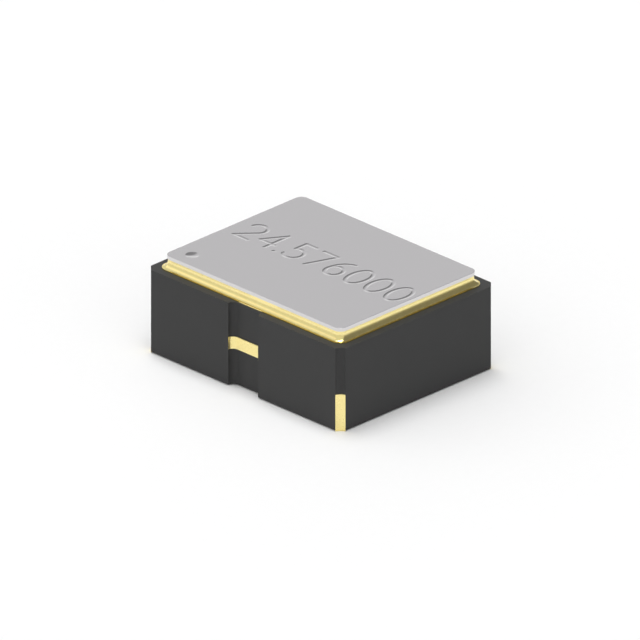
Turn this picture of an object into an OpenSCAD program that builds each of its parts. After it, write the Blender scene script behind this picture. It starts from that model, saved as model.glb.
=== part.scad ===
// Surface-mount crystal oscillator, 2.5 x 2.0 mm, metal lid on a co-fired ceramic base.
// Origin: bottom centre, on the plane that the four solder lands rest on.
// +Z is up, +X runs along the long side, pin 1 is at the -X -Y corner.
// All lengths are millimetres.

/* [Ceramic base] */
// Length of the base along X
body_l = 2.5; // [2.4:0.05:3.2]
// Width of the base along Y
body_w = 2.0; // [1.9:0.05:2.6]
// Thickness of the floor layer under the die
floor_t = 0.19; // [0.12:0.01:0.3]
// Depth of the die pocket, up to the bond shelf
pocket_h = 0.164; // [0.14:0.002:0.22]
// Thickness of the layer that carries the side test pads
pad_layer_h = 0.121; // [0.08:0.001:0.2]
// Thickness of the layer between the test pads and the crystal shelf
wire_layer_h = 0.113; // [0.08:0.001:0.2]
// Height of the wall round the crystal
wall_layer_h = 0.232; // [0.18:0.002:0.3]
// Width of the rim between the outer face and the crystal cavity
rim_w = 0.33; // [0.325:0.005:0.36]
// Corner radius of the crystal cavity
cavity_r = 0.1; // [0.04:0.01:0.16]
// Corner radius of the die pocket and of the cavity above it
pocket_r = 0.06; // [0.03:0.01:0.1]

/* [Castellations] */
// Radius of the quarter-round groove in each corner, and depth of the side grooves
groove_r = 0.065; // [0.05:0.005:0.09]
// Length of the side groove along X
groove_l = 0.382; // [0.25:0.002:0.6]
// Thickness of the gold-plated metal in the middle of a groove, thinning to its edges
plating_t = 0.008; // [0.004:0.001:0.015]

/* [Solder lands] */
// Length of each land along X
land_l = 0.75; // [0.65:0.05:0.9]
// Width of each land along Y
land_w = 0.57; // [0.53:0.02:0.75]
// Thickness of each land below the ceramic
land_t = 0.012; // [0.006:0.002:0.03]
// Distance from the edge of the base to the land
land_inset = 0.05; // [0.02:0.01:0.08]
// Distance from the edge of the base to the neck that joins a land to its groove
neck_inset = 0.018; // [0.01:0.002:0.03]
// Cut across the inner corner of the land of pin 1
index_cut = 0.14; // [0.06:0.02:0.24]

/* [Seal] */
// Distance from the edge of the base to the metallised band
seal_inset = 0.073; // [0.06:0.001:0.09]
// Corner radius of the metallised band
seal_r = 0.1; // [0.09:0.01:0.14]
// Thickness of the metallised band
metal_t = 0.01; // [0.005:0.001:0.02]
// Thickness of the braze under the seal ring
braze_t = 0.01; // [0.005:0.001:0.02]
// Height of the thin outer edge of the braze above the metallised band
braze_edge_h = 0.002; // [0.001:0.0005:0.02]
// Radius of the hollow fillet of braze between that edge and the seal ring
fillet_r = 0.057; // [0.045:0.001:0.065]
// Width of the wall of the seal ring
ring_wall = 0.19; // [0.14:0.01:0.19]
// Height of the seal ring
ring_h = 0.0815; // [0.07:0.0005:0.14]

/* [Lid] */
// Thickness of the lid
lid_t = 0.035; // [0.03:0.001:0.08]
// Overhang of the lid past the seal ring
lid_over = 0.0155; // [0.005:0.0005:0.03]
// Corner radius of the lid in plan
lid_r = 0.075; // [0.05:0.005:0.12]
// Rounding along the top edge of the lid
lid_edge_r = 0.003; // [0.002:0.001:0.014]
// Diameter of the hollow dimple that marks pin 1
mark_d = 0.13; // [0.06:0.01:0.2]
// Depth of that dimple in its middle
mark_depth = 0.01; // [0.005:0.001:0.024]
// Distance from the short edge of the lid to the dimple centre
mark_x = 0.195; // [0.13:0.005:0.3]
// Distance from the long edge of the lid to the dimple centre
mark_y = 0.173; // [0.13:0.005:0.3]

/* [Quartz crystal] */
// Thickness of the quartz blank
blank_t = 0.06; // [0.03:0.005:0.1]
// Gap between the blank and the cavity at the mounted end
blank_end_gap = 0.07; // [0.05:0.01:0.12]
// Gap between the blank and the cavity at the free end
blank_free_gap = 0.17; // [0.1:0.01:0.24]
// Gap between the blank and the cavity along each side
blank_side_gap = 0.12; // [0.08:0.01:0.2]
// Thickness of the metal film of each electrode
film_t = 0.004; // [0.002:0.001:0.008]
// Length of each electrode along X
electrode_l = 0.8; // [0.5:0.05:0.95]
// Width of each electrode along Y
electrode_w = 0.66; // [0.4:0.02:0.9]
// Width of the tab that leads from an electrode to its corner
tab_w = 0.2; // [0.1:0.01:0.26]
// Distance between the electrode and the free end of the blank
electrode_gap = 0.26; // [0.15:0.01:0.3]

/* [Crystal mount] */
// Diameter of each drop of conductive adhesive
drop_d = 0.17; // [0.1:0.01:0.19]
// Height of each drop of conductive adhesive
drop_h = 0.025; // [0.015:0.001:0.05]
// Length of each crystal pad along X
crystal_pad_l = 0.2; // [0.19:0.01:0.24]
// Width of each crystal pad along Y
crystal_pad_w = 0.26; // [0.2:0.01:0.3]
// Distance between the centres of the two crystal pads
crystal_pitch = 0.6; // [0.5:0.02:0.7]

/* [Oscillator die] */
// Length of the die along X
die_l = 0.86; // [0.7:0.02:0.9]
// Width of the die along Y
die_w = 0.7; // [0.66:0.02:0.8]
// Thickness of the die
die_t = 0.12; // [0.08:0.005:0.15]
// Gap between the die and the wall of its pocket
die_gap = 0.05; // [0.03:0.005:0.08]
// Thickness of the metal paddle that the die is fixed to
paddle_t = 0.008; // [0.004:0.001:0.015]
// Gap between the paddle and the wall of the pocket
paddle_gap = 0.012; // [0.006:0.001:0.02]
// Thickness of the die adhesive
attach_t = 0.015; // [0.008:0.001:0.025]
// Width of the adhesive that shows round the die
attach_rim = 0.025; // [0.016:0.001:0.028]
// Side of each square bond pad on the die
die_pad = 0.06; // [0.05:0.002:0.08]
// Thickness of the metal of each bond pad
die_pad_t = 0.004; // [0.002:0.001:0.008]
// Distance from the edge of the die to the bond pad centres
die_pad_inset = 0.06; // [0.045:0.005:0.1]
// Distance between the two outer rows of bond pads along Y
die_pad_span = 0.56; // [0.5:0.02:0.6]

/* [Wire bonds] */
// Width of the bond shelf at the ends of the die pocket
shelf_l = 0.17; // [0.15:0.01:0.19]
// Width of the bond shelf along the sides of the die pocket
shelf_w = 0.14; // [0.12:0.01:0.16]
// Length of each bond finger along X
finger_l = 0.11; // [0.08:0.01:0.13]
// Width of each bond finger along Y
finger_w = 0.1; // [0.06:0.01:0.12]
// Thickness of each bond finger
finger_t = 0.008; // [0.004:0.001:0.015]
// Distance between the two outer rows of fingers along Y
finger_span = 0.9; // [0.8:0.02:0.92]
// Diameter of the gold bond wire
wire_d = 0.02; // [0.015:0.001:0.03]
// Diameter of the ball bond on the die
ball_d = 0.044; // [0.035:0.001:0.055]
// Height of the ball bond
ball_h = 0.012; // [0.008:0.001:0.02]
// Straight rise of the wire above its higher end
wire_rise = 0.01; // [0.004:0.002:0.03]

/* [Buried conductors] */
// Diameter of each via through the ceramic
via_d = 0.06; // [0.04:0.005:0.08]
// Width of each buried trace
trace_w = 0.06; // [0.04:0.005:0.08]
// Distance from the long edge of the base to the test pad trace
trace_inset = 0.22; // [0.18:0.01:0.26]

/* [Hidden] */
$fn = 96;
// How far a cut runs past the piece that it opens
through = 1;

// Heights of the layer boundaries and of what stands on them
base_z = land_t;
floor_z = base_z + floor_t;
shelf_z = floor_z + pocket_h;
pad_layer_z = shelf_z + pad_layer_h;
crystal_z = pad_layer_z + wire_layer_h;
rim_z = crystal_z + wall_layer_h;
metal_z = rim_z + metal_t;
ring_z = metal_z + braze_t;
lid_z = ring_z + ring_h;

// Plan sizes of the seal, the ring and the lid
seal_l = body_l - 2 * seal_inset;
seal_w = body_w - 2 * seal_inset;
ring_l = seal_l - 2 * fillet_r;
ring_w = seal_w - 2 * fillet_r;
ring_r = seal_r - fillet_r;
inner_l = ring_l - 2 * ring_wall;
inner_w = ring_w - 2 * ring_wall;
lid_l = ring_l + 2 * lid_over;
lid_w = ring_w + 2 * lid_over;
braze_h = braze_edge_h + fillet_r;

// Plan sizes of the three steps of the cavity
cavity_l = body_l - 2 * rim_w;
cavity_w = body_w - 2 * rim_w;
pocket_l = die_l + 2 * die_gap;
pocket_w = die_w + 2 * die_gap;
bond_l = pocket_l + 2 * shelf_l;
bond_w = pocket_w + 2 * shelf_w;

// Quartz blank and its mount
blank_l = cavity_l - blank_end_gap - blank_free_gap;
blank_w = cavity_w - 2 * blank_side_gap;
blank_x = -cavity_l / 2 + blank_end_gap;
mount_x = -(cavity_l + bond_l) / 4;
drop_z = crystal_z + finger_t;
film_z = drop_z + drop_h;
blank_z = film_z + film_t;
electrode_x = blank_x + blank_l - electrode_gap - electrode_l;
foot_l = mount_x - blank_x + drop_d / 2 + film_t;

// Die, its pads and the fingers round it
attach_z = floor_z + paddle_t;
die_z = attach_z + attach_t;
die_top = die_z + die_t;
pad_x = die_l / 2 - die_pad_inset;
finger_x = pocket_l / 2 + shelf_l / 2;
ball_z = die_top + die_pad_t;
finger_top = shelf_z + finger_t;
arch_z = max(ball_z + ball_h, finger_top) + wire_rise;

// Place of the two crystal bonds, as a share of the outer row
INNER_ROW = 1 / 3;
// Wire bonds as [side along X, place along Y as a share of the outer row]
ENABLE = [-1, -1];
CRYSTAL_IN = [-1, -INNER_ROW];
CRYSTAL_OUT = [-1, INNER_ROW];
SUPPLY = [-1, 1];
GROUND = [1, -1];
OUTPUT = [1, 1];
BONDS = [ENABLE, CRYSTAL_IN, CRYSTAL_OUT, SUPPLY, GROUND, OUTPUT];
CORNERS = [ENABLE, SUPPLY, GROUND, OUTPUT];

// Colours
CERAMIC = [0.2, 0.2, 0.2];
GOLD = [0.93, 0.79, 0.45];
SILVER = [0.78, 0.78, 0.8];
LID = [0.72, 0.71, 0.72];
QUARTZ = [0.85, 0.9, 0.95];
SILICON = [0.35, 0.37, 0.45];
ADHESIVE = [0.62, 0.62, 0.6];
TUNGSTEN = [0.5, 0.5, 0.52];

// Rectangle with round corners, centred
module rounded_rect(l, w, r) {
    square([l - 2 * r, w], center = true);
    square([l, w - 2 * r], center = true);
    for (sx = [-1, 1], sy = [-1, 1])
        translate([sx * (l / 2 - r), sy * (w / 2 - r)]) circle(r = r);
}

// Flat slab with round corners, from z up by h
module slab(l, w, r, z, h) {
    translate([0, 0, z]) linear_extrude(h) rounded_rect(l, w, r);
}

// Block on the plane z, given by its centre and its size
module block(x, y, z, l, w, h) {
    translate([x - l / 2, y - w / 2, z]) cube([l, w, h]);
}

// Plate with round corners whose edge has the profile given as child.
// The profile starts on the Y axis, reaches out to x = r and is h high.
module profiled_plate(l, w, r, h) {
    a = l / 2 - r;
    b = w / 2 - r;
    translate([-a, -b, 0]) cube([2 * a, 2 * b, h]);
    translate([a, b, 0]) rotate_extrude(angle = 90) children();
    translate([-a, b, 0]) rotate([0, 0, 90]) rotate_extrude(angle = 90) children();
    translate([-a, -b, 0]) rotate([0, 0, 180]) rotate_extrude(angle = 90) children();
    translate([a, -b, 0]) rotate([0, 0, 270]) rotate_extrude(angle = 90) children();
    for (turn = [0, 180]) rotate([0, 0, turn]) {
        translate([a, b, 0]) rotate([90, 0, 0]) linear_extrude(2 * b) children();
        translate([-a, b, 0]) rotate([90, 0, 90]) linear_extrude(2 * a) children();
    }
}

// Outline of a side groove: a slot with round ends, centred on the outer face
module groove_outline() {
    half = groove_l / 2 - groove_r;
    square([2 * half, 2 * groove_r], center = true);
    for (side = [-1, 1]) translate([side * half, 0]) circle(r = groove_r);
}

// Side groove cut from z up by h, on the side -1 or +1 along Y
module side_groove(side, z, h) {
    translate([0, side * body_w / 2, z]) linear_extrude(h) groove_outline();
}

// Via that joins a corner finger to its solder land
module corner_via(corner) {
    translate([corner[0] * finger_x, corner[1] * finger_span / 2, base_z])
        cylinder(d = via_d, h = shelf_z - base_z);
}

// Buried conductor from a crystal finger to its pad and its test pad
module crystal_lead(side) {
    finger_y = side * INNER_ROW * finger_span / 2;
    mount_y = side * crystal_pitch / 2;
    edge_y = side * (body_w / 2 - trace_inset);
    groove_y = side * (body_w / 2 - groove_r);
    out_x = -finger_x - finger_l / 2;
    // From the finger out to the via
    translate([mount_x, finger_y - trace_w / 2, shelf_z])
        cube([out_x - mount_x, trace_w, finger_t]);
    run_between([mount_x, finger_y], [mount_x, mount_y], shelf_z);
    // Via up to the crystal pad
    translate([mount_x, mount_y, shelf_z]) cylinder(d = via_d, h = crystal_z - shelf_z);
    // From the via to the groove in the long side
    run_between([mount_x, mount_y], [mount_x, edge_y], pad_layer_z - finger_t);
    run_between([mount_x, edge_y], [0, edge_y], pad_layer_z - finger_t);
    translate([-trace_w / 2, min(edge_y, groove_y), pad_layer_z - finger_t])
        cube([trace_w, abs(groove_y - edge_y), finger_t]);
}

// Straight trace with square ends between two points on one axis
module run_between(a, b, z) {
    low = [min(a[0], b[0]) - trace_w / 2, min(a[1], b[1]) - trace_w / 2];
    high = [max(a[0], b[0]) + trace_w / 2, max(a[1], b[1]) + trace_w / 2];
    translate([low[0], low[1], z]) cube([high[0] - low[0], high[1] - low[1], finger_t]);
}

// Co-fired ceramic base with its stepped cavity and its grooves
module ceramic_base() {
    height = rim_z - base_z;
    cut_z = base_z - through;
    cut_h = height + 2 * through;
    color(CERAMIC) difference() {
        block(0, 0, base_z, body_l, body_w, height);
        for (sx = [-1, 1], sy = [-1, 1])
            translate([sx * body_l / 2, sy * body_w / 2, cut_z]) cylinder(r = groove_r, h = cut_h);
        for (side = [-1, 1]) side_groove(side, cut_z, cut_h);
        slab(cavity_l, cavity_w, cavity_r, crystal_z, wall_layer_h + through);
        slab(bond_l, bond_w, pocket_r, shelf_z, crystal_z - shelf_z + through);
        slab(pocket_l, pocket_w, pocket_r, floor_z, pocket_h + through);
        for (corner = CORNERS) corner_via(corner);
        for (side = [-1, 1]) crystal_lead(side);
    }
}

// What the plating leaves open in a corner groove, from z up by h. Its round wall runs
// through both edges of the groove, so that the plating thins out to nothing there.
module corner_hollow(z, h) {
    rise = groove_r * (1 - cos(45)) - plating_t;
    hollow_r = (pow(groove_r, 2) / 2 + pow(rise, 2)) / (2 * rise);
    out = (hollow_r - rise) * cos(45) - groove_r / 2;
    translate([body_l / 2 + out, body_w / 2 + out, z]) cylinder(r = hollow_r, h = h);
}

// Solder land, corner plating and the neck between them, for one corner
module terminal(corner, index = 0) {
    cx = body_l / 2;
    cy = body_w / 2;
    far_x = cx - land_inset - land_l;
    far_y = cy - land_inset - land_w;
    mirror([corner[0] < 0 ? 1 : 0, 0, 0]) mirror([0, corner[1] < 0 ? 1 : 0, 0])
        difference() {
            union() {
                linear_extrude(land_t) difference() {
                    union() {
                        translate([far_x, far_y]) square([land_l, land_w]);
                        translate([cx - groove_r, cy - groove_r])
                            circle(r = groove_r - neck_inset);
                    }
                    if (index > 0) translate([far_x, far_y])
                        rotate(45) square(index * sqrt(2), center = true);
                }
                intersection() {
                    translate([cx, cy, 0]) cylinder(r = groove_r, h = shelf_z);
                    block(0, 0, 0, body_l, body_w, shelf_z);
                }
            }
            corner_hollow(-through, shelf_z + 2 * through);
        }
}

module terminal_enable() {
    color(GOLD) terminal(ENABLE, index_cut);
}

module terminal_ground() {
    color(GOLD) terminal(GROUND);
}

module terminal_output() {
    color(GOLD) terminal(OUTPUT);
}

module terminal_supply() {
    color(GOLD) terminal(SUPPLY);
}

// Plating on the wall of one side groove, one layer high, thinning out to its two ends
module test_pad(side) {
    intersection() {
        difference() {
            side_groove(side, shelf_z, pad_layer_h);
            translate([0, side * plating_t, 0])
                side_groove(side, shelf_z - through, pad_layer_h + 2 * through);
        }
        block(0, 0, shelf_z, body_l, body_w, pad_layer_h);
    }
}

module test_pad_front() {
    color(GOLD) test_pad(-1);
}

module test_pad_rear() {
    color(GOLD) test_pad(1);
}

// Opening inside the seal, cut through what lies from z up by h
module seal_opening(z, h) {
    slab(inner_l, inner_w, cavity_r, z - through, h + 2 * through);
}

// Metallised band printed on the rim
module seal_metallisation() {
    color(GOLD) difference() {
        slab(seal_l, seal_w, seal_r, rim_z, metal_t);
        seal_opening(rim_z, metal_t);
    }
}

// Section of the braze: a thin outer edge and a hollow fillet up to the ring
module braze_profile() {
    difference() {
        square([seal_r, braze_h]);
        translate([seal_r, braze_h]) circle(r = fillet_r);
    }
}

// Braze under the ring and round its foot
module braze_fillet() {
    color(GOLD) difference() {
        translate([0, 0, metal_z])
            profiled_plate(seal_l, seal_w, seal_r, braze_h) braze_profile();
        slab(ring_l, ring_w, ring_r, ring_z, ring_h);
        seal_opening(metal_z, braze_h);
    }
}

// Frame of sealing alloy that the lid is welded to
module seal_ring() {
    color(GOLD) difference() {
        slab(ring_l, ring_w, ring_r, ring_z, ring_h);
        seal_opening(ring_z, ring_h);
    }
}

// Section of the edge of the lid
module lid_profile() {
    square([lid_r, lid_t - lid_edge_r]);
    square([lid_r - lid_edge_r, lid_t]);
    translate([lid_r - lid_edge_r, lid_t - lid_edge_r]) circle(r = lid_edge_r);
}

// Flat lid with the hollow dimple that marks pin 1
module lid() {
    ball_r = (pow(mark_d / 2, 2) + pow(mark_depth, 2)) / (2 * mark_depth);
    color(LID) difference() {
        translate([0, 0, lid_z]) profiled_plate(lid_l, lid_w, lid_r, lid_t) lid_profile();
        translate([mark_x - lid_l / 2, mark_y - lid_w / 2, lid_z + lid_t - mark_depth + ball_r])
            sphere(r = ball_r);
    }
}

// Thin quartz plate held at its -X end
module quartz_blank() {
    color(QUARTZ) translate([blank_x, -blank_w / 2, blank_z]) cube([blank_l, blank_w, blank_t]);
}

// Electrode film with its tab, on the plane z and on the side -1 or +1 along Y
module electrode_film(side, z) {
    translate([electrode_x, -electrode_w / 2, z]) cube([electrode_l, electrode_w, film_t]);
    translate([blank_x, side * crystal_pitch / 2 - tab_w / 2, z])
        cube([electrode_x - blank_x + tab_w / 2, tab_w, film_t]);
}

// Upper electrode, whose tab folds round the end of the blank and under it
module electrode_top() {
    side = 1;
    color(SILVER) union() {
        electrode_film(side, blank_z + blank_t);
        translate([blank_x - film_t, side * crystal_pitch / 2 - tab_w / 2, film_z])
            cube([film_t, tab_w, blank_t + 2 * film_t]);
        translate([blank_x - film_t, side * crystal_pitch / 2 - tab_w / 2, film_z])
            cube([foot_l, tab_w, film_t]);
    }
}

// Lower electrode, whose tab lies straight on its drop of adhesive
module electrode_bottom() {
    color(SILVER) electrode_film(-1, film_z);
}

// Drop of silver-filled adhesive between a crystal pad and the film above it
module adhesive_drop(side) {
    color(ADHESIVE) translate([mount_x, side * crystal_pitch / 2, drop_z])
        rotate_extrude() {
            square([drop_d / 2 - drop_h / 2, drop_h]);
            intersection() {
                translate([drop_d / 2 - drop_h / 2, drop_h / 2]) circle(d = drop_h);
                square([drop_d / 2, drop_h]);
            }
        }
}

module adhesive_drop_front() {
    adhesive_drop(-1);
}

module adhesive_drop_rear() {
    adhesive_drop(1);
}

// Plated pad on the crystal shelf
module crystal_pad(side) {
    color(GOLD) block(mount_x, side * crystal_pitch / 2, crystal_z,
        crystal_pad_l, crystal_pad_w, finger_t);
}

module crystal_pad_front() {
    crystal_pad(-1);
}

module crystal_pad_rear() {
    crystal_pad(1);
}

// Silicon die with the oscillator circuit
module oscillator_die() {
    color(SILICON) block(0, 0, die_z, die_l, die_w, die_t);
}

// Adhesive that fixes the die to its paddle
module die_adhesive() {
    corner_r = pocket_r - die_gap + attach_rim;
    color(ADHESIVE)
        slab(die_l + 2 * attach_rim, die_w + 2 * attach_rim, corner_r, attach_z, attach_t);
}

// Plated paddle on the floor of the pocket
module die_paddle() {
    l = pocket_l - 2 * paddle_gap;
    w = pocket_w - 2 * paddle_gap;
    color(GOLD) slab(l, w, pocket_r - paddle_gap, floor_z, paddle_t);
}

// Square bond pads along the two ends of the die
module die_bond_pads() {
    color(SILVER) for (bond = BONDS)
        block(bond[0] * pad_x, bond[1] * die_pad_span / 2, die_top, die_pad, die_pad, die_pad_t);
}

// Plated fingers on the bond shelf
module bond_fingers() {
    color(GOLD) for (bond = BONDS)
        block(bond[0] * finger_x, bond[1] * finger_span / 2, shelf_z, finger_l, finger_w, finger_t);
}

// One wire: a ball on the die, a round arch and a leg down to its finger
module bond_wire(bond) {
    start = [bond[0] * pad_x, bond[1] * die_pad_span / 2];
    end = [bond[0] * finger_x, bond[1] * finger_span / 2];
    run = norm(end - start);
    heading = atan2(end[1] - start[1], end[0] - start[0]);
    color(GOLD) translate([start[0], start[1], 0]) rotate([0, 0, heading]) {
        translate([0, 0, ball_z]) cylinder(d = ball_d, h = ball_h);
        translate([0, 0, ball_z + ball_h / 2]) cylinder(d = wire_d, h = arch_z - ball_z - ball_h / 2);
        translate([run / 2, 0, arch_z]) rotate([90, 0, 0])
            rotate_extrude(angle = 180) translate([run / 2, 0]) circle(d = wire_d);
        translate([run, 0, finger_top]) cylinder(d = wire_d, h = arch_z - finger_top);
    }
}

module bond_wire_enable() {
    bond_wire(ENABLE);
}

module bond_wire_crystal_in() {
    bond_wire(CRYSTAL_IN);
}

module bond_wire_crystal_out() {
    bond_wire(CRYSTAL_OUT);
}

module bond_wire_supply() {
    bond_wire(SUPPLY);
}

module bond_wire_ground() {
    bond_wire(GROUND);
}

module bond_wire_output() {
    bond_wire(OUTPUT);
}

module crystal_lead_front() {
    color(TUNGSTEN) crystal_lead(-1);
}

module crystal_lead_rear() {
    color(TUNGSTEN) crystal_lead(1);
}

module terminal_vias() {
    color(TUNGSTEN) for (corner = CORNERS) corner_via(corner);
}

ceramic_base();
terminal_enable();
terminal_ground();
terminal_output();
terminal_supply();
test_pad_front();
test_pad_rear();
seal_metallisation();
braze_fillet();
seal_ring();
lid();
quartz_blank();
electrode_top();
electrode_bottom();
adhesive_drop_front();
adhesive_drop_rear();
crystal_pad_front();
crystal_pad_rear();
oscillator_die();
die_adhesive();
die_paddle();
die_bond_pads();
bond_fingers();
bond_wire_enable();
bond_wire_crystal_in();
bond_wire_crystal_out();
bond_wire_supply();
bond_wire_ground();
bond_wire_output();
crystal_lead_front();
crystal_lead_rear();
terminal_vias();
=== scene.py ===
# %% [markdown]
# # A clock oscillator of 2.5 x 2.0 mm
# The real part is a tiny black ceramic tub with a metal lid. It stands on four gold-plated lands, and the
# plating of each climbs a groove in a corner. The solid model comes packed, in metres, with every node in its
# place. It could be modelled again by hand, but it is loaded as it is, because its sizes are already right.
# What Blender adds is what a camera sees: finishes, soft edges, the engraved number and the light.

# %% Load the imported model
import math

import bmesh
import bpy
from mathutils import Matrix, Vector


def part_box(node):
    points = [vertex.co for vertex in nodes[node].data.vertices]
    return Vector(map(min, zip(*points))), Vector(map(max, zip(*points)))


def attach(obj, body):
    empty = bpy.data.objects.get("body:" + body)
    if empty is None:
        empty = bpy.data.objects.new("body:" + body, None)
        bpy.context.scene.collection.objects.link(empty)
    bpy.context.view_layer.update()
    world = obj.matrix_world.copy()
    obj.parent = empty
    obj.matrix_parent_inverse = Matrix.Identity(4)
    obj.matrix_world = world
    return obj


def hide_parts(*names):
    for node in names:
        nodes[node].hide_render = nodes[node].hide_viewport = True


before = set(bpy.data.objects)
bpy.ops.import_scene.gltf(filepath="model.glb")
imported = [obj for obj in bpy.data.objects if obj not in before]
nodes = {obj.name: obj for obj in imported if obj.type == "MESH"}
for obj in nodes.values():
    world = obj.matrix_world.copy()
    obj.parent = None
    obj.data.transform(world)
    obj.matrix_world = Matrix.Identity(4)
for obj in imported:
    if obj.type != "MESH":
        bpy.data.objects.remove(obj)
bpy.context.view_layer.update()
print("nodes loaded:", len(nodes))

# %% [markdown]
# ## Working in millimetres
# A part this small is easier to think of in millimetres, while Blender's file is in metres. One factor turns
# one into the other. What is drawn here for the part is drawn in millimetres and shrunk once, at the end.
# That also keeps Blender's mesh tools away from numbers so small that they round them off.

# %% Millimetres
MM = 0.001


def node_size(name):
    """Lowest and highest corner of a node, in millimetres."""
    low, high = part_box(name)
    return Vector(low) / MM, Vector(high) / MM


lid_low, lid_high = node_size("lid")
base_low, base_high = node_size("ceramic_base")
print("lid, mm:", [round(v, 4) for v in lid_high - lid_low])
print("ceramic base, mm:", [round(v, 4) for v in base_high - base_low])

# %% [markdown]
# ## The camera
# The picture has no vanishing points: edges that are parallel on the part are parallel in it. So the camera
# is orthographic, turned 45 degrees round the part and raised 25.3 degrees. A long lens far away would look
# nearly the same, but only this one keeps the three edge directions exact.

# %% Camera
AZIMUTH = math.radians(45)
ELEVATION = math.radians(25.3)
VIEW_WIDTH = 5.8166 * MM
AIM = Vector((-0.0061, -0.0061, 0.390)) * MM
CAMERA_DISTANCE = 40 * MM
NEAREST = 1 * MM
FARTHEST = 200 * MM

camera_data = bpy.data.cameras.new("camera")
camera_data.type = "ORTHO"
camera_data.ortho_scale = VIEW_WIDTH
camera_data.clip_start = NEAREST
camera_data.clip_end = FARTHEST
camera = bpy.data.objects.new("camera", camera_data)
bpy.context.collection.objects.link(camera)
towards_camera = Vector((
    math.sin(AZIMUTH) * math.cos(ELEVATION),
    -math.cos(AZIMUTH) * math.cos(ELEVATION),
    math.sin(ELEVATION),
))
camera.location = AIM + towards_camera * CAMERA_DISTANCE
camera.rotation_euler = towards_camera.to_track_quat("Z", "Y").to_euler()
bpy.context.scene.camera = camera
print("camera width, mm:", round(VIEW_WIDTH / MM, 3))

# %% [markdown]
# ## Small tools for finishes
# A finish is a small network of nodes. One function adds a node together with its settings and its wires, and
# one turns a colour as people write it (sRGB, in hex) into the linear numbers that light is summed in. The
# size of a pattern is given in millimetres, and turned into repeats per metre for Blender. Nodes that mix or
# calculate use one name for several sockets, so those sockets go by number, and the numbers get names here.
# A noise is a sum of layers, each finer than the last, and its detail is the number of finer layers.

# %% Names for sockets and for the detail of a noise
FACTOR = 0
FIRST = 0
SECOND = 1
NUMBER_A = 2
NUMBER_B = 3
COLOUR_A = 6
COLOUR_B = 7
NUMBER_OUT = 0
COLOUR_OUT = 2
SOFT = 2.0
FINE = 3.0
RICH = 4.0
print("colour sockets of a mix:", COLOUR_A, "and", COLOUR_B)


# %% Helpers for finishes
def add(tree, kind, values=None, wires=None, **settings):
    """Add one node, with its settings, the values of its sockets and the wires into them."""
    node = tree.nodes.new(kind)
    for name, value in settings.items():
        setattr(node, name, value)
    for socket, value in (values or {}).items():
        node.inputs[socket].default_value = value
    for socket, source in (wires or {}).items():
        tree.links.new(source, node.inputs[socket])
    return node


def linear(hex_colour):
    """Linear RGBA of an sRGB colour such as #d6d3d4."""
    parts = [int(hex_colour[i:i + 2], 16) / 255 for i in (1, 3, 5)]
    return tuple(((v + 0.055) / 1.055) ** 2.4 if v > 0.04045 else v / 12.92 for v in parts) + (1.0,)


def repeats(size_mm):
    """Repeats per metre of a pattern whose features are size_mm across."""
    return 1 / (size_mm * MM)


def new_finish(name, colour, roughness, metallic=0.0):
    """A material of one colour and a range of roughness, its main shader, and the place on the part."""
    finish = bpy.data.materials.new(name)
    finish.use_nodes = True
    finish.diffuse_color = linear(colour)
    tree = finish.node_tree
    shader = tree.nodes["Principled BSDF"]
    shader.inputs["Base Color"].default_value = linear(colour)
    shader.inputs["Roughness"].default_value = sum(roughness) / len(roughness)
    shader.inputs["Metallic"].default_value = metallic
    place = add(tree, "ShaderNodeTexCoord").outputs["Object"]
    return finish, tree, shader, place


def vary(tree, shader, pattern, colours, roughness, height_mm=0.0, bumps=None):
    """Let a pattern from 0 to 1 move colour and roughness, and let it, or another, raise the surface."""
    dark, pale = (linear(colour) for colour in colours)
    blend = add(tree, "ShaderNodeMix", {COLOUR_A: dark, COLOUR_B: pale}, {FACTOR: pattern}, data_type="RGBA")
    smooth, rough = roughness
    spread = add(tree, "ShaderNodeMapRange", {"To Min": smooth, "To Max": rough}, {"Value": pattern})
    tree.links.new(blend.outputs[COLOUR_OUT], shader.inputs["Base Color"])
    tree.links.new(spread.outputs["Result"], shader.inputs["Roughness"])
    if height_mm:
        bumps = pattern if bumps is None else bumps
        bump = add(tree, "ShaderNodeBump", {"Distance": height_mm * MM}, {"Height": bumps})
        tree.links.new(bump.outputs["Normal"], shader.inputs["Normal"])


finishes = {}
print("a pattern of 1 mm has", round(repeats(1)), "repeats per metre")

# %% [markdown]
# ## Black co-fired alumina
# The tub is alumina powder coloured with metal oxides, cast into tape, stacked in layers and fired into one
# body. Alumina bends light by 1.76, but its grains, a few micrometres across, leave a matt skin that scatters
# most of the light and mirrors little. So the face is an even, neutral dark grey, also right beside the gold.
# Grains that small don't show here, so they are drawn 12 micrometres across. A slow cloudiness over it stands
# for the uneven shrink of the tape.

# %% Black co-fired alumina
ALUMINA_IOR = 1.76
ALUMINA_MIRROR = 0.08
ALUMINA_ROUGHNESS = (0.45, 0.55)
GRAIN_MM = 0.012
CLOUD_MM = 0.45
GRAIN_HEIGHT_MM = 0.0002
EVEN_MIX = 0.5

finish, tree, shader, place = new_finish("black_cofired_alumina", "#3d3d3d", ALUMINA_ROUGHNESS)
shader.inputs["IOR"].default_value = ALUMINA_IOR
shader.inputs["Specular IOR Level"].default_value = ALUMINA_MIRROR
grain = add(tree, "ShaderNodeTexNoise", {"Scale": repeats(GRAIN_MM), "Detail": FINE}, {"Vector": place})
clouds = add(tree, "ShaderNodeTexNoise", {"Scale": repeats(CLOUD_MM), "Detail": SOFT}, {"Vector": place})
both = {NUMBER_A: grain.outputs["Fac"], NUMBER_B: clouds.outputs["Fac"]}
mottle = add(tree, "ShaderNodeMix", {FACTOR: EVEN_MIX}, both).outputs[NUMBER_OUT]
vary(tree, shader, mottle, ("#393939", "#414141"), ALUMINA_ROUGHNESS, GRAIN_HEIGHT_MM, grain.outputs["Fac"])
finishes["alumina"] = finish
print(finish.name, "roughness", ALUMINA_ROUGHNESS)

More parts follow.
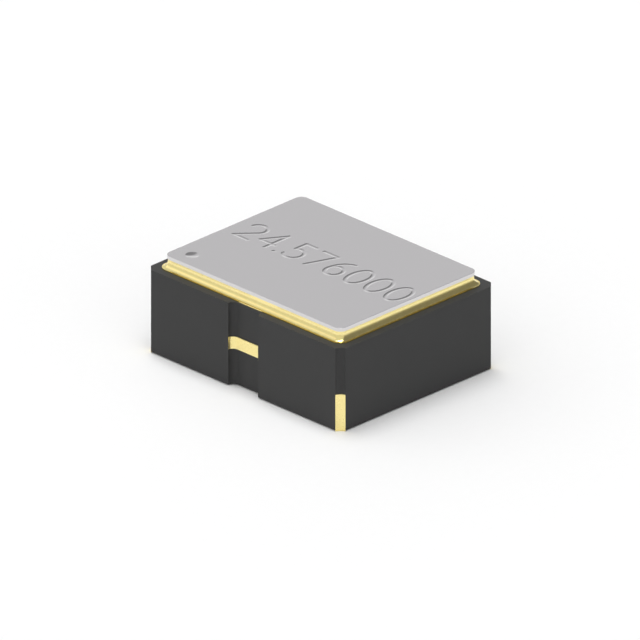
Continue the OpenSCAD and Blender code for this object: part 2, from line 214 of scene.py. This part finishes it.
# %% [markdown]
# ## Electroplated gold on printed metal
# Lands and grooves are tungsten paste, fired with the ceramic, then plated with nickel and a thin skin of
# gold. The paste leaves it slightly grainy, so the gold is satin and not a mirror. The real grain is about
# 4 micrometres and is drawn at 10.

# %% Electroplated gold of the terminals
GOLD = "#fdeba2"
METAL = 1.0
PASTE_ROUGHNESS = (0.22, 0.36)
PASTE_GRAIN_MM = 0.010
PASTE_HEIGHT_MM = 0.0003

finish, tree, shader, place = new_finish("electroplated_gold_terminal", GOLD, PASTE_ROUGHNESS, METAL)
grain = add(tree, "ShaderNodeTexNoise", {"Scale": repeats(PASTE_GRAIN_MM), "Detail": RICH}, {"Vector": place})
vary(tree, shader, grain.outputs["Fac"], ("#f8e498", "#fff0ac"), PASTE_ROUGHNESS, PASTE_HEIGHT_MM)
finishes["terminal_gold"] = finish
print(finish.name, "grain", PASTE_GRAIN_MM, "mm")

# %% [markdown]
# ## Gold over braze
# The seal ring is brazed to the rim, and both are plated together. Braze flows as a liquid before it sets,
# so it draws itself up the ring in a hollow fillet that is smoother than the printed paste, with slow waves.

# %% Gold over the braze and the seal ring
BRAZE_ROUGHNESS = (0.16, 0.24)
WAVE_MM = 0.06
WAVE_HEIGHT_MM = 0.0002

finish, tree, shader, place = new_finish("gold_plated_braze", GOLD, BRAZE_ROUGHNESS, METAL)
waves = add(tree, "ShaderNodeTexNoise", {"Scale": repeats(WAVE_MM), "Detail": SOFT}, {"Vector": place})
vary(tree, shader, waves.outputs["Fac"], ("#f9e59a", "#fff0aa"), BRAZE_ROUGHNESS, WAVE_HEIGHT_MM)
finishes["seal_gold"] = finish
print(finish.name, "waves", WAVE_MM, "mm")

# %% [markdown]
# ## Nickel-plated lid
# The lid is stamped from rolled strip of a nickel, cobalt and iron alloy and plated with nickel. Rolling
# leaves fine lines along the strip, which make the grey face even and quiet from any side. The lines are
# about 2 micrometres apart and are drawn at 8.

# %% Nickel-plated rolled strip
STRIP_ROUGHNESS = (0.15, 0.21)
STRIP_STRETCH = 30
ROLL_LINE_MM = 0.008
ROLL_HEIGHT_MM = 0.00008

finish, tree, shader, place = new_finish("nickel_plated_rolled_alloy", "#d7d5d7", STRIP_ROUGHNESS, METAL)
along = add(tree, "ShaderNodeMapping", {"Scale": (1 / STRIP_STRETCH, 1, 1)}, {"Vector": place})
strip = along.outputs["Vector"]
lines = add(tree, "ShaderNodeTexNoise", {"Scale": repeats(ROLL_LINE_MM), "Detail": SOFT}, {"Vector": strip})
vary(tree, shader, lines.outputs["Fac"], ("#d5d3d5", "#d9d7d9"), STRIP_ROUGHNESS, ROLL_HEIGHT_MM)
finishes["lid_nickel"] = finish
print(finish.name, "lines", ROLL_LINE_MM, "mm apart")

# %% [markdown]
# ## Polished quartz
# The blank is cut from a quartz bar, lapped and polished until light passes as through glass. Quartz bends
# light by 1.544. Faint etch pits 30 micrometres apart keep the face from being perfect.

# %% Polished quartz
QUARTZ_IOR = 1.544
CLEAR_THROUGH = 1.0
POLISH_ROUGHNESS = (0.02, 0.07)
PIT_MM = 0.03
PIT_DEPTH_MM = 0.00005

finish, tree, shader, place = new_finish("polished_quartz", "#f4f8fb", POLISH_ROUGHNESS)
shader.inputs["IOR"].default_value = QUARTZ_IOR
shader.inputs["Transmission Weight"].default_value = CLEAR_THROUGH
pits = add(tree, "ShaderNodeTexVoronoi", {"Scale": repeats(PIT_MM)}, {"Vector": place})
vary(tree, shader, pits.outputs["Distance"], ("#eef4f8", "#fafdff"), POLISH_ROUGHNESS, PIT_DEPTH_MM)
finishes["quartz"] = finish
print(finish.name, "index", QUARTZ_IOR)

# %% [markdown]
# ## Metal films and pads inside
# Each film inside the tub is made in its own way. Silver is evaporated on the quartz and is nearly a mirror.
# Aluminium is sputtered on the die, and takes a dull print from the test probe. Tungsten paste, fired in the
# ceramic, is grey and rough. They share one recipe: a grain of the right size moves colour and roughness.

# %% Films, pads and buried tungsten
FILMS = (
    # slot, name, colour, its two ends, roughness, grain in mm, height in mm
    ("electrode_silver", "evaporated_silver", "#e9e7e4", ("#e4e2de", "#efedeb"), (0.08, 0.16), 0.04, 0.00003),
    ("bond_aluminium", "sputtered_aluminium", "#dadadc", ("#cfcfd2", "#e4e4e6"), (0.22, 0.42), 0.008, 0.0002),
    ("tungsten", "fired_tungsten_paste", "#8d8b89", ("#7d7b79", "#9c9a98"), (0.45, 0.65), 0.010, 0.0006),
)
for slot_name, title, colour, colours, roughness, grain_mm, height_mm in FILMS:
    finish, tree, shader, place = new_finish(title, colour, roughness, METAL)
    grain = add(tree, "ShaderNodeTexNoise", {"Scale": repeats(grain_mm), "Detail": FINE}, {"Vector": place})
    vary(tree, shader, grain.outputs["Fac"], colours, roughness, height_mm)
    finishes[slot_name] = finish
    print(finish.name, "grain", grain_mm, "mm")

# %% [markdown]
# ## Drawn gold wire
# The wires are pure gold, drawn through dies to 20 micrometres and softened by heat. Drawing leaves a bright
# skin with faint marks, so the finish is the smoothest gold on the part, and a little redder than the
# plating. The marks are finer than the wire, and are drawn at 6 micrometres.

# %% Drawn gold wire
WIRE_ROUGHNESS = (0.10, 0.20)
DRAW_MARK_MM = 0.006
DRAW_HEIGHT_MM = 0.00006

finish, tree, shader, place = new_finish("drawn_gold_wire", "#ffdc8c", WIRE_ROUGHNESS, METAL)
marks = add(tree, "ShaderNodeTexNoise", {"Scale": repeats(DRAW_MARK_MM), "Detail": SOFT}, {"Vector": place})
vary(tree, shader, marks.outputs["Fac"], ("#fbd684", "#ffe298"), WIRE_ROUGHNESS, DRAW_HEIGHT_MM)
finishes["wire_gold"] = finish
print(finish.name, "marks", DRAW_MARK_MM, "mm")

# %% [markdown]
# ## Silver-filled adhesive
# Epoxy full of silver flakes fixes the die and the crystal. It is dull grey with tiny sparks, because the
# flakes lie every way in the resin. Flakes are about 8 micrometres across.

# %% Silver-filled adhesive
SILVER_SHARE = 0.6
RESIN_ROUGHNESS = (0.35, 0.65)
FLAKE_MM = 0.008
FLAKE_HEIGHT_MM = 0.0015

finish, tree, shader, place = new_finish("silver_filled_epoxy", "#a5a29b", RESIN_ROUGHNESS, SILVER_SHARE)
flakes = add(tree, "ShaderNodeTexVoronoi", {"Scale": repeats(FLAKE_MM)}, {"Vector": place})
vary(tree, shader, flakes.outputs["Distance"], ("#b9b6b0", "#86837c"), RESIN_ROUGHNESS, FLAKE_HEIGHT_MM)
finishes["silver_adhesive"] = finish
print(finish.name, "flakes", FLAKE_MM, "mm")

# %% [markdown]
# ## Silicon die
# The die is a polished slice of silicon under a clear oxide. Blocks of circuit 40 micrometres wide tint it in
# quiet steps of blue and grey. Square cells, measured corner to corner along the axes, look like such blocks.

# %% Silicon die
SILICON_IOR = 3.4
DIE_ROUGHNESS = (0.12, 0.26)
BLOCK_MM = 0.04
BLOCK_HEIGHT_MM = 0.0003

finish, tree, shader, place = new_finish("oxide_coated_silicon", "#4a4f5c", DIE_ROUGHNESS)
shader.inputs["IOR"].default_value = SILICON_IOR
size = {"Scale": repeats(BLOCK_MM)}
blocks = add(tree, "ShaderNodeTexVoronoi", size, {"Vector": place}, distance="CHEBYCHEV")
tint = add(tree, "ShaderNodeSeparateColor", wires={"Color": blocks.outputs["Color"]}).outputs["Red"]
edges = blocks.outputs["Distance"]
vary(tree, shader, tint, ("#3d4350", "#5d5f66"), DIE_ROUGHNESS, BLOCK_HEIGHT_MM, edges)
finishes["silicon"] = finish
print(finish.name, "blocks", BLOCK_MM, "mm")

# %% [markdown]
# ## Dressing the nodes
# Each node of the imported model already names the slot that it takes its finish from. Thirty-two nodes could
# be dressed by hand, but one loop over the slots does it without a chance to forget one.

# %% Dress the nodes
for name, piece in nodes.items():
    for slot in piece.material_slots:
        slot.material = finishes[slot.material.name]
print("dressed:", len(nodes), "nodes with", len(finishes), "finishes")

# %% [markdown]
# ## The engraved lid
# Such a lid is marked with digits, and a hollow dimple near one corner marks pin 1. The dimple is in the
# solid model, and the digits are not, so the lid is drawn again here with both. Digits could be faked with a
# bump, but a groove with real sloping walls mirrors something dark with one slope and something light with
# the other. The lid is a plate whose top edge is rounded in a few steps, and both marks are cut out of it as
# solids. The plate, and later the braze round it, are lofts: rings of points that are joined by faces.

# %% Outline of a plate with round corners
CORNER_STEPS = 14
QUARTER_TURN = 90
CORNERS = ((1, 1), (-1, 1), (-1, -1), (1, -1))


def plate_outline(length, width, radius):
    """Points round a rectangle with round corners, in millimetres."""
    points = []
    for turn, (side_x, side_y) in enumerate(CORNERS):
        for step in range(CORNER_STEPS + 1):
            angle = math.radians(QUARTER_TURN * (turn + step / CORNER_STEPS))
            points.append((
                side_x * (length / 2 - radius) + radius * math.cos(angle),
                side_y * (width / 2 - radius) + radius * math.sin(angle),
            ))
    return points


print("points round a plate:", len(CORNERS) * (CORNER_STEPS + 1))


# %% Loft through rings
def loft(name, rings, hoop=False):
    """Mesh through rings of (x, y, z) in millimetres: a plate with two ends, or a hoop that has none."""
    mesh = bmesh.new()
    loops = [[mesh.verts.new(point) for point in ring] for ring in rings]
    count = len(loops[0])
    uppers = loops[1:] + loops[:1] if hoop else loops[1:]
    for lower, upper in zip(loops, uppers):
        for i in range(count):
            j = (i + 1) % count
            mesh.faces.new((lower[i], lower[j], upper[j], upper[i]))
    if not hoop:
        mesh.faces.new(reversed(loops[0]))
        mesh.faces.new(loops[-1])
    data = bpy.data.meshes.new(name)
    mesh.to_mesh(data)
    mesh.free()
    piece = bpy.data.objects.new(name, data)
    bpy.context.collection.objects.link(piece)
    return piece


print("loft ready, for plates and for hoops")

# %% [markdown]
# ## The blank of the lid
# The real lid is punched out of strip, which leaves its upper edge rounded by a hair. The edge could be
# bevelled after the plate is made, but drawing its rings straight away keeps the number of faces in hand.

# %% Lid blank
LID_CORNER_R = 0.075
LID_EDGE_R = 0.0015
EDGE_STEPS = 3

lid_length, lid_width, _ = lid_high - lid_low
rings = [[(x, y, lid_low.z) for x, y in plate_outline(lid_length, lid_width, LID_CORNER_R)]]
for step in range(EDGE_STEPS + 1):
    angle = math.radians(QUARTER_TURN * step / EDGE_STEPS)
    inset = LID_EDGE_R * (1 - math.cos(angle))
    z = lid_high.z - LID_EDGE_R * (1 - math.sin(angle))
    outline = plate_outline(lid_length - 2 * inset, lid_width - 2 * inset, LID_CORNER_R - inset)
    rings.append([(x, y, z) for x, y in outline])
lid = loft("lid_engraved", rings)
print("lid blank points:", len(lid.data.vertices))

# %% [markdown]
# ## Strokes of the digits
# The number is plain digits, a clock rate such as any oscillator may carry. A graver follows the middle of
# each stroke, so every digit is written as the path of its tool, in a box that is one unit high. Outlines of
# a typed font would be quicker, but they fold over themselves when they are thinned, and the cut then leaves
# holes.

# %% Strokes of the digits
ARC_STEP = 15
DIGIT_WIDTH = 0.60
POINT_WIDTH = 0.06


def arc(cx, cy, rx, ry, start, end):
    """Points along part of an ellipse, with angles in degrees."""
    count = round(abs(end - start) / ARC_STEP)
    angles = [math.radians(start + (end - start) * i / count) for i in range(count + 1)]
    return [(cx + rx * math.cos(a), cy + ry * math.sin(a)) for a in angles]


STROKES = {
    "0": [arc(0.30, 0.50, 0.28, 0.48, 0, 360)],
    "2": [arc(0.30, 0.71, 0.27, 0.27, 165, -40) + [(0.03, 0.02), (0.57, 0.02)]],
    "4": [[(0.45, 0.02), (0.45, 0.98), (0.02, 0.30), (0.58, 0.30)]],
    "5": [[(0.52, 0.98), (0.12, 0.98)] + arc(0.28, 0.31, 0.29, 0.30, 125, -145)],
    "6": [arc(0.30, 0.30, 0.26, 0.28, 0, 360), arc(0.60, 0.30, 0.56, 0.66, 100, 180)],
    "7": [[(0.03, 0.98), (0.57, 0.98), (0.20, 0.02)]],
    ".": [[(0.02, 0.02), (0.04, 0.02)]],
}
print("digits drawn:", len(STROKES) - 1)

# %% [markdown]
# ## Laying out the number
# The digits run along the long side of the lid, left to right for a reader in front. They could be spaced by
# eye, but here the room that the digits leave is shared out evenly between them, so both ends come out right.

# %% Lay out the number
NUMBER = "24.576000"
NUMBER_HEIGHT = 0.33
NUMBER_FROM = -1.00
NUMBER_TO = 1.08
NUMBER_LOW = -0.137

widths = [NUMBER_HEIGHT * (POINT_WIDTH if mark == "." else DIGIT_WIDTH) for mark in NUMBER]
gap = (NUMBER_TO - NUMBER_FROM - sum(widths)) / (len(NUMBER) - 1)
paths = []
left = NUMBER_FROM
for mark, width in zip(NUMBER, widths):
    for stroke in STROKES[mark]:
        line = [(left + x * NUMBER_HEIGHT, NUMBER_LOW + y * NUMBER_HEIGHT) for x, y in stroke]
        paths.append([Vector(point) for point in line])
    left += width + gap
print("gap between digits, mm:", round(gap, 4))

# %% [markdown]
# ## A cutter with a groove along every stroke
# The groove is round at the bottom: its depth falls off with the square of the distance from the stroke. A
# tube along each stroke could cut it too, but tubes that meet cross each other's faces. So the cutter is one
# block whose underside follows that rule on a fine grid. Away from the strokes it stays just above the lid
# and meets it only along the edges of the grooves. It cannot fold, and the cut stays closed.

# %% Groove cutter
GROOVE_HALF = 0.022
GROOVE_DEPTH = 0.0036
GRID = 0.006
CLEAR = 0.003
ABOVE = 0.01

top = lid_high.z
margin = 2 * GROOVE_HALF
segments = [pair for path in paths for pair in zip(path, path[1:])]
print("pieces of stroke:", len(segments))


# %% Height of the cutter over a point
def distance(point, start, end):
    """Distance from a point to a straight piece of a stroke."""
    run = end - start
    share = (point - start).dot(run) / run.length_squared
    return (point - start - run * min(1.0, max(0.0, share))).length


def strokes_near(x):
    """The pieces of stroke that may reach a column of the grid."""
    found = []
    for start, end in segments:
        low, high = sorted((start.x, end.x))
        if low - margin < x < high + margin:
            found.append((start, end))
    return found


def cutter_height(x, y, strokes):
    """Height of the cutter's underside: below the lid's top in a groove, and just above it elsewhere."""
    point = Vector((x, y))
    away = min((distance(point, start, end) for start, end in strokes), default=margin)
    return top + min(CLEAR, GROOVE_DEPTH * ((away / GROOVE_HALF) ** 2 - 1))


print("deepest point below the top, mm:", GROOVE_DEPTH)

# %% Underside of the cutter
columns = math.ceil((NUMBER_TO - NUMBER_FROM + 2 * margin) / GRID)
rows = math.ceil((NUMBER_HEIGHT + 2 * margin) / GRID)
mesh = bmesh.new()
under = []
for i in range(columns + 1):
    x = NUMBER_FROM - margin + i * GRID
    strokes = strokes_near(x)
    line = []
    for j in range(rows + 1):
        y = NUMBER_LOW - margin + j * GRID
        line.append(mesh.verts.new((x, y, cutter_height(x, y, strokes))))
    under.append(line)
for i in range(columns):
    for j in range(rows):
        mesh.faces.new((under[i][j], under[i][j + 1], under[i + 1][j + 1], under[i + 1][j]))
bmesh.ops.triangulate(mesh, faces=mesh.faces)
print("grid of the cutter:", columns, "by", rows)

# %% Close the cutter
rim = [edge for edge in mesh.edges if edge.is_boundary]
grown = bmesh.ops.extrude_edge_only(mesh, edges=rim)["geom"]
lifted = [part for part in grown if isinstance(part, bmesh.types.BMVert)]
for vertex in lifted:
    vertex.co.z = top + ABOVE
bmesh.ops.contextual_create(mesh, geom=[part for part in grown if isinstance(part, bmesh.types.BMEdge)])
bmesh.ops.recalc_face_normals(mesh, faces=mesh.faces)
data = bpy.data.meshes.new("grooves")
mesh.to_mesh(data)
mesh.free()
digits = bpy.data.objects.new("grooves", data)
bpy.context.collection.objects.link(digits)
print("groove cutter points:", len(data.vertices))

# %% [markdown]
# ## The dimple
# The dimple is a slice of a ball, as a punch with a round nose leaves it. A whole ball could cut it, but its
# faces would be far too coarse where it matters, so only the slice is drawn, in fine rings.

# %% Dimple
DIMPLE_D = 0.13
DIMPLE_DEPTH = 0.010
DIMPLE_CENTRE = (-0.9405, -0.7125)
DIMPLE_STEPS = 48
DIMPLE_RINGS = 10

ball_r = ((DIMPLE_D / 2) ** 2 + DIMPLE_DEPTH ** 2) / (2 * DIMPLE_DEPTH)
half_angle = math.asin(DIMPLE_D / 2 / ball_r)
levels = []
for ring in range(1, DIMPLE_RINGS + 1):
    angle = half_angle * ring / DIMPLE_RINGS
    levels.append((ball_r * math.sin(angle), top - DIMPLE_DEPTH + ball_r * (1 - math.cos(angle))))
levels.append((DIMPLE_D / 2, top + ABOVE))
turn = [2 * math.pi * i / DIMPLE_STEPS for i in range(DIMPLE_STEPS)]
dimple = loft("dimple", [
    [(DIMPLE_CENTRE[0] + r * math.cos(a), DIMPLE_CENTRE[1] + r * math.sin(a), z) for a in turn]
    for r, z in levels
])
print("ball of the dimple, radius in mm:", round(ball_r, 4))

# %% [markdown]
# ## Both cuts
# Blender's Boolean takes one solid from another. The marks could be pushed into the lid's own faces instead,
# but a cut keeps the rest of the top level. The edges that don't join exactly two faces are counted after it,
# to show that the lid is still closed.

# %% Cut both out of the lid
for cutter in (digits, dimple):
    cut = lid.modifiers.new("cut", "BOOLEAN")
    cut.operation = "DIFFERENCE"
    cut.solver = "EXACT"
    cut.object = cutter
graph = bpy.context.evaluated_depsgraph_get()
engraved = bpy.data.meshes.new_from_object(lid.evaluated_get(graph))
lid.modifiers.clear()
lid.data = engraved
for cutter in (digits, dimple):
    bpy.data.objects.remove(cutter)
mesh = bmesh.new()
mesh.from_mesh(engraved)
loose = sum(len(edge.link_faces) != 2 for edge in mesh.edges)
mesh.free()
print("engraved lid points:", len(engraved.vertices), "loose edges:", loose)

# %% [markdown]
# ## From millimetres to the part
# The lid is shrunk to metres and takes the place of the lid of the solid model. Faces that meet at less than
# 35 degrees are shaded as one curve, so the rounded edge looks round and the engraved walls stay crisp. The
# level faces are shaded flat, as a rolled sheet is.

# %% Put the lid on the part
SMOOTH_BELOW = math.radians(35)
LEVEL = 0.9999


def place_piece(piece, slot_name, *replaced):
    """Shrink a piece to metres, smooth it, dress it, and hide the nodes whose place it takes."""
    piece.data.shade_smooth()
    piece.data.set_sharp_from_angle(angle=SMOOTH_BELOW)
    for face in piece.data.polygons:
        if abs(face.normal.z) > LEVEL:
            face.use_smooth = False
    piece.data.transform(Matrix.Scale(MM, 4))
    piece.data.materials.clear()
    piece.data.materials.append(finishes[slot_name])
    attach(piece, "root")
    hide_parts(*replaced)


place_piece(lid, "lid_nickel", "lid")
print("lid placed")

# %% [markdown]
# ## The hollow of the braze
# Molten braze climbs the side of the seal ring, sets in a hollow curve a little taller than it is wide, and
# runs out in a skin that reaches the lid. What it mirrors changes quickly along the curve, so it is drawn
# here again in fine steps: a quarter of an ellipse, carried round the ring as a hoop. Its outline on the
# ceramic and the braze under the ring stay where the solid model has them.

# %% Braze round the seal ring
HOLLOW_HEIGHT = 0.074
HOLLOW_STEPS = 28
SKIN = 0.0008
EDGE_HEIGHT = 0.002
SEAL_CORNER_R = 0.10
OPENING_CORNER_R = 0.10
RING_WALL = 0.19

braze_low, braze_high = node_size("braze_fillet")
ring_low, ring_high = node_size("seal_ring")
braze_length, braze_width, _ = braze_high - braze_low
ring_inset = braze_high.x - ring_high.x
opening_inset = ring_inset + RING_WALL
foot = braze_low.z + EDGE_HEIGHT
profile = [(0, braze_low.z, SEAL_CORNER_R)]
for step in range(HOLLOW_STEPS + 1):
    angle = math.radians(QUARTER_TURN * step / HOLLOW_STEPS)
    inset = (ring_inset - SKIN) * math.sin(angle)
    profile.append((inset, foot + HOLLOW_HEIGHT * (1 - math.cos(angle)), SEAL_CORNER_R - inset))
profile += [
    (ring_inset, lid_low.z, SEAL_CORNER_R - ring_inset),
    (ring_inset, ring_low.z, SEAL_CORNER_R - ring_inset),
    (opening_inset, ring_low.z, OPENING_CORNER_R),
    (opening_inset, braze_low.z, OPENING_CORNER_R),
]
braze = loft("braze_hollow", [
    [(x, y, z) for x, y in plate_outline(braze_length - 2 * inset, braze_width - 2 * inset, corner_r)]
    for inset, z, corner_r in profile
], hoop=True)
place_piece(braze, "seal_gold", "braze_fillet")
print("braze points:", len(braze.data.vertices))

# %% [markdown]
# ## Floor
# The part stands on a sheet of pale matt card. Its wide, plain surface is also what the upright gold mirrors,
# and what it throws back fills the dark sides, so it matters to the finishes as much as the light does.

# %% Floor
FLOOR_R = 60.0
FLOOR_STEPS = 64
FIBRE_MM = 0.08
CARD_MIRROR = 0.2
CARD_ROUGHNESS = (0.88, 0.95)

finish, tree, shader, place = new_finish("matt_white_card", "#f3f3f3", CARD_ROUGHNESS)
shader.inputs["Specular IOR Level"].default_value = CARD_MIRROR
fibres = add(tree, "ShaderNodeTexNoise", {"Scale": repeats(FIBRE_MM), "Detail": SOFT}, {"Vector": place})
vary(tree, shader, fibres.outputs["Fac"], ("#f2f2f2", "#f4f4f4"), CARD_ROUGHNESS)
floor_mesh = bmesh.new()
bmesh.ops.create_circle(floor_mesh, cap_ends=True, radius=FLOOR_R * MM, segments=FLOOR_STEPS)
floor_data = bpy.data.meshes.new("floor")
floor_mesh.to_mesh(floor_data)
floor_mesh.free()
floor_data.materials.append(finish)
floor = bpy.data.objects.new("floor", floor_data)
bpy.context.collection.objects.link(floor)
print("floor radius, mm:", FLOOR_R)

# %% [markdown]
# ## Light
# A pale room lights the part, with one soft lamp high up, a little behind it. Photographers steer reflections
# with cards, and so does this room. A large grey card on the far right is what the hollow braze on that side
# mirrors, which turns its gold olive. A small grey card high at the back darkens the far slope of each groove
# and of the dimple, and a low window behind the part lights their near slopes. A white card on the left
# brightens the middle of the hollow on that side. Lamp objects could do this too, but here all of it is one
# sky, painted by direction, so there is no hard shadow. Each patch of it is given by two angles, by how near
# to its centre it starts and is full (as the cosine of an angle), and by its light.

# %% Lamp, window and cards
WALL_COLOUR = "#ffffff"
WALL_LIGHT = 0.72
LAMP = (88.0, 71.6)
LAMP_LIGHT = 13.0
LAMP_EDGE = 0.825
WHITE_CARD = (204.0, 28.4)
WHITE_CARD_LIGHT = 0.46
WHITE_CARD_EDGE = 0.922
WINDOW = (135.0, 0.0)
WINDOW_LIGHT = 0.34
WINDOW_EDGE = 0.90
GREY_CARD = (74.5, 38.0)
GREY_CARD_LIGHT = 0.20
GREY_CARD_EDGE = 0.599
GREY_CARD_FULL = 0.817
BACK_CARD = (125.0, 52.0)
BACK_CARD_LIGHT = 0.26
BACK_CARD_EDGE = 0.9135
BACK_CARD_FULL = 0.966
WHOLE = 1.0
print("the lamp adds", round(LAMP_LIGHT / WALL_LIGHT), "times the light of the wall")

# %% Patches of the sky
world = bpy.data.worlds.new("pale_room")
world.use_nodes = True
bpy.context.scene.world = world
tree = world.node_tree
direction = add(tree, "ShaderNodeTexCoord").outputs["Generated"]


def patch(turn, rise, edge, full, light):
    """Light that grows from nothing to its full value towards a point of the sky, given by two angles."""
    around, up = math.radians(turn), math.radians(rise)
    centre = (math.cos(around) * math.cos(up), math.sin(around) * math.cos(up), math.sin(up))
    nearness = add(tree, "ShaderNodeVectorMath", {SECOND: centre}, {FIRST: direction},
                   operation="DOT_PRODUCT").outputs["Value"]
    limits = {"From Min": edge, "From Max": full, "To Min": 0.0, "To Max": light}
    growth = add(tree, "ShaderNodeMapRange", limits, {"Value": nearness}, interpolation_type="SMOOTHSTEP")
    return growth.outputs["Result"]


lamp = patch(*LAMP, LAMP_EDGE, WHOLE, LAMP_LIGHT)
white_card = patch(*WHITE_CARD, WHITE_CARD_EDGE, WHOLE, WHITE_CARD_LIGHT)
window = patch(*WINDOW, WINDOW_EDGE, WHOLE, WINDOW_LIGHT)
grey_card = patch(*GREY_CARD, GREY_CARD_EDGE, GREY_CARD_FULL, WHOLE)
back_card = patch(*BACK_CARD, BACK_CARD_EDGE, BACK_CARD_FULL, WHOLE)
print("patches of the sky:", sum(node.bl_idname == "ShaderNodeMapRange" for node in tree.nodes))

# %% Put the sky together
strength = lamp
for light in (white_card, window):
    total = add(tree, "ShaderNodeMath", wires={FIRST: strength, SECOND: light}, operation="ADD")
    strength = total.outputs["Value"]
total = add(tree, "ShaderNodeMath", {SECOND: WALL_LIGHT}, {FIRST: strength}, operation="ADD")
strength = total.outputs["Value"]
for card, level in ((grey_card, GREY_CARD_LIGHT), (back_card, BACK_CARD_LIGHT)):
    covered = add(tree, "ShaderNodeMix", {NUMBER_B: level}, {FACTOR: card, NUMBER_A: strength})
    strength = covered.outputs[NUMBER_OUT]
background = tree.nodes["Background"]
background.inputs["Color"].default_value = linear(WALL_COLOUR)
tree.links.new(strength, background.inputs["Strength"])
bpy.context.scene.view_settings.view_transform = "Standard"
print("nodes in the sky:", len(tree.nodes))
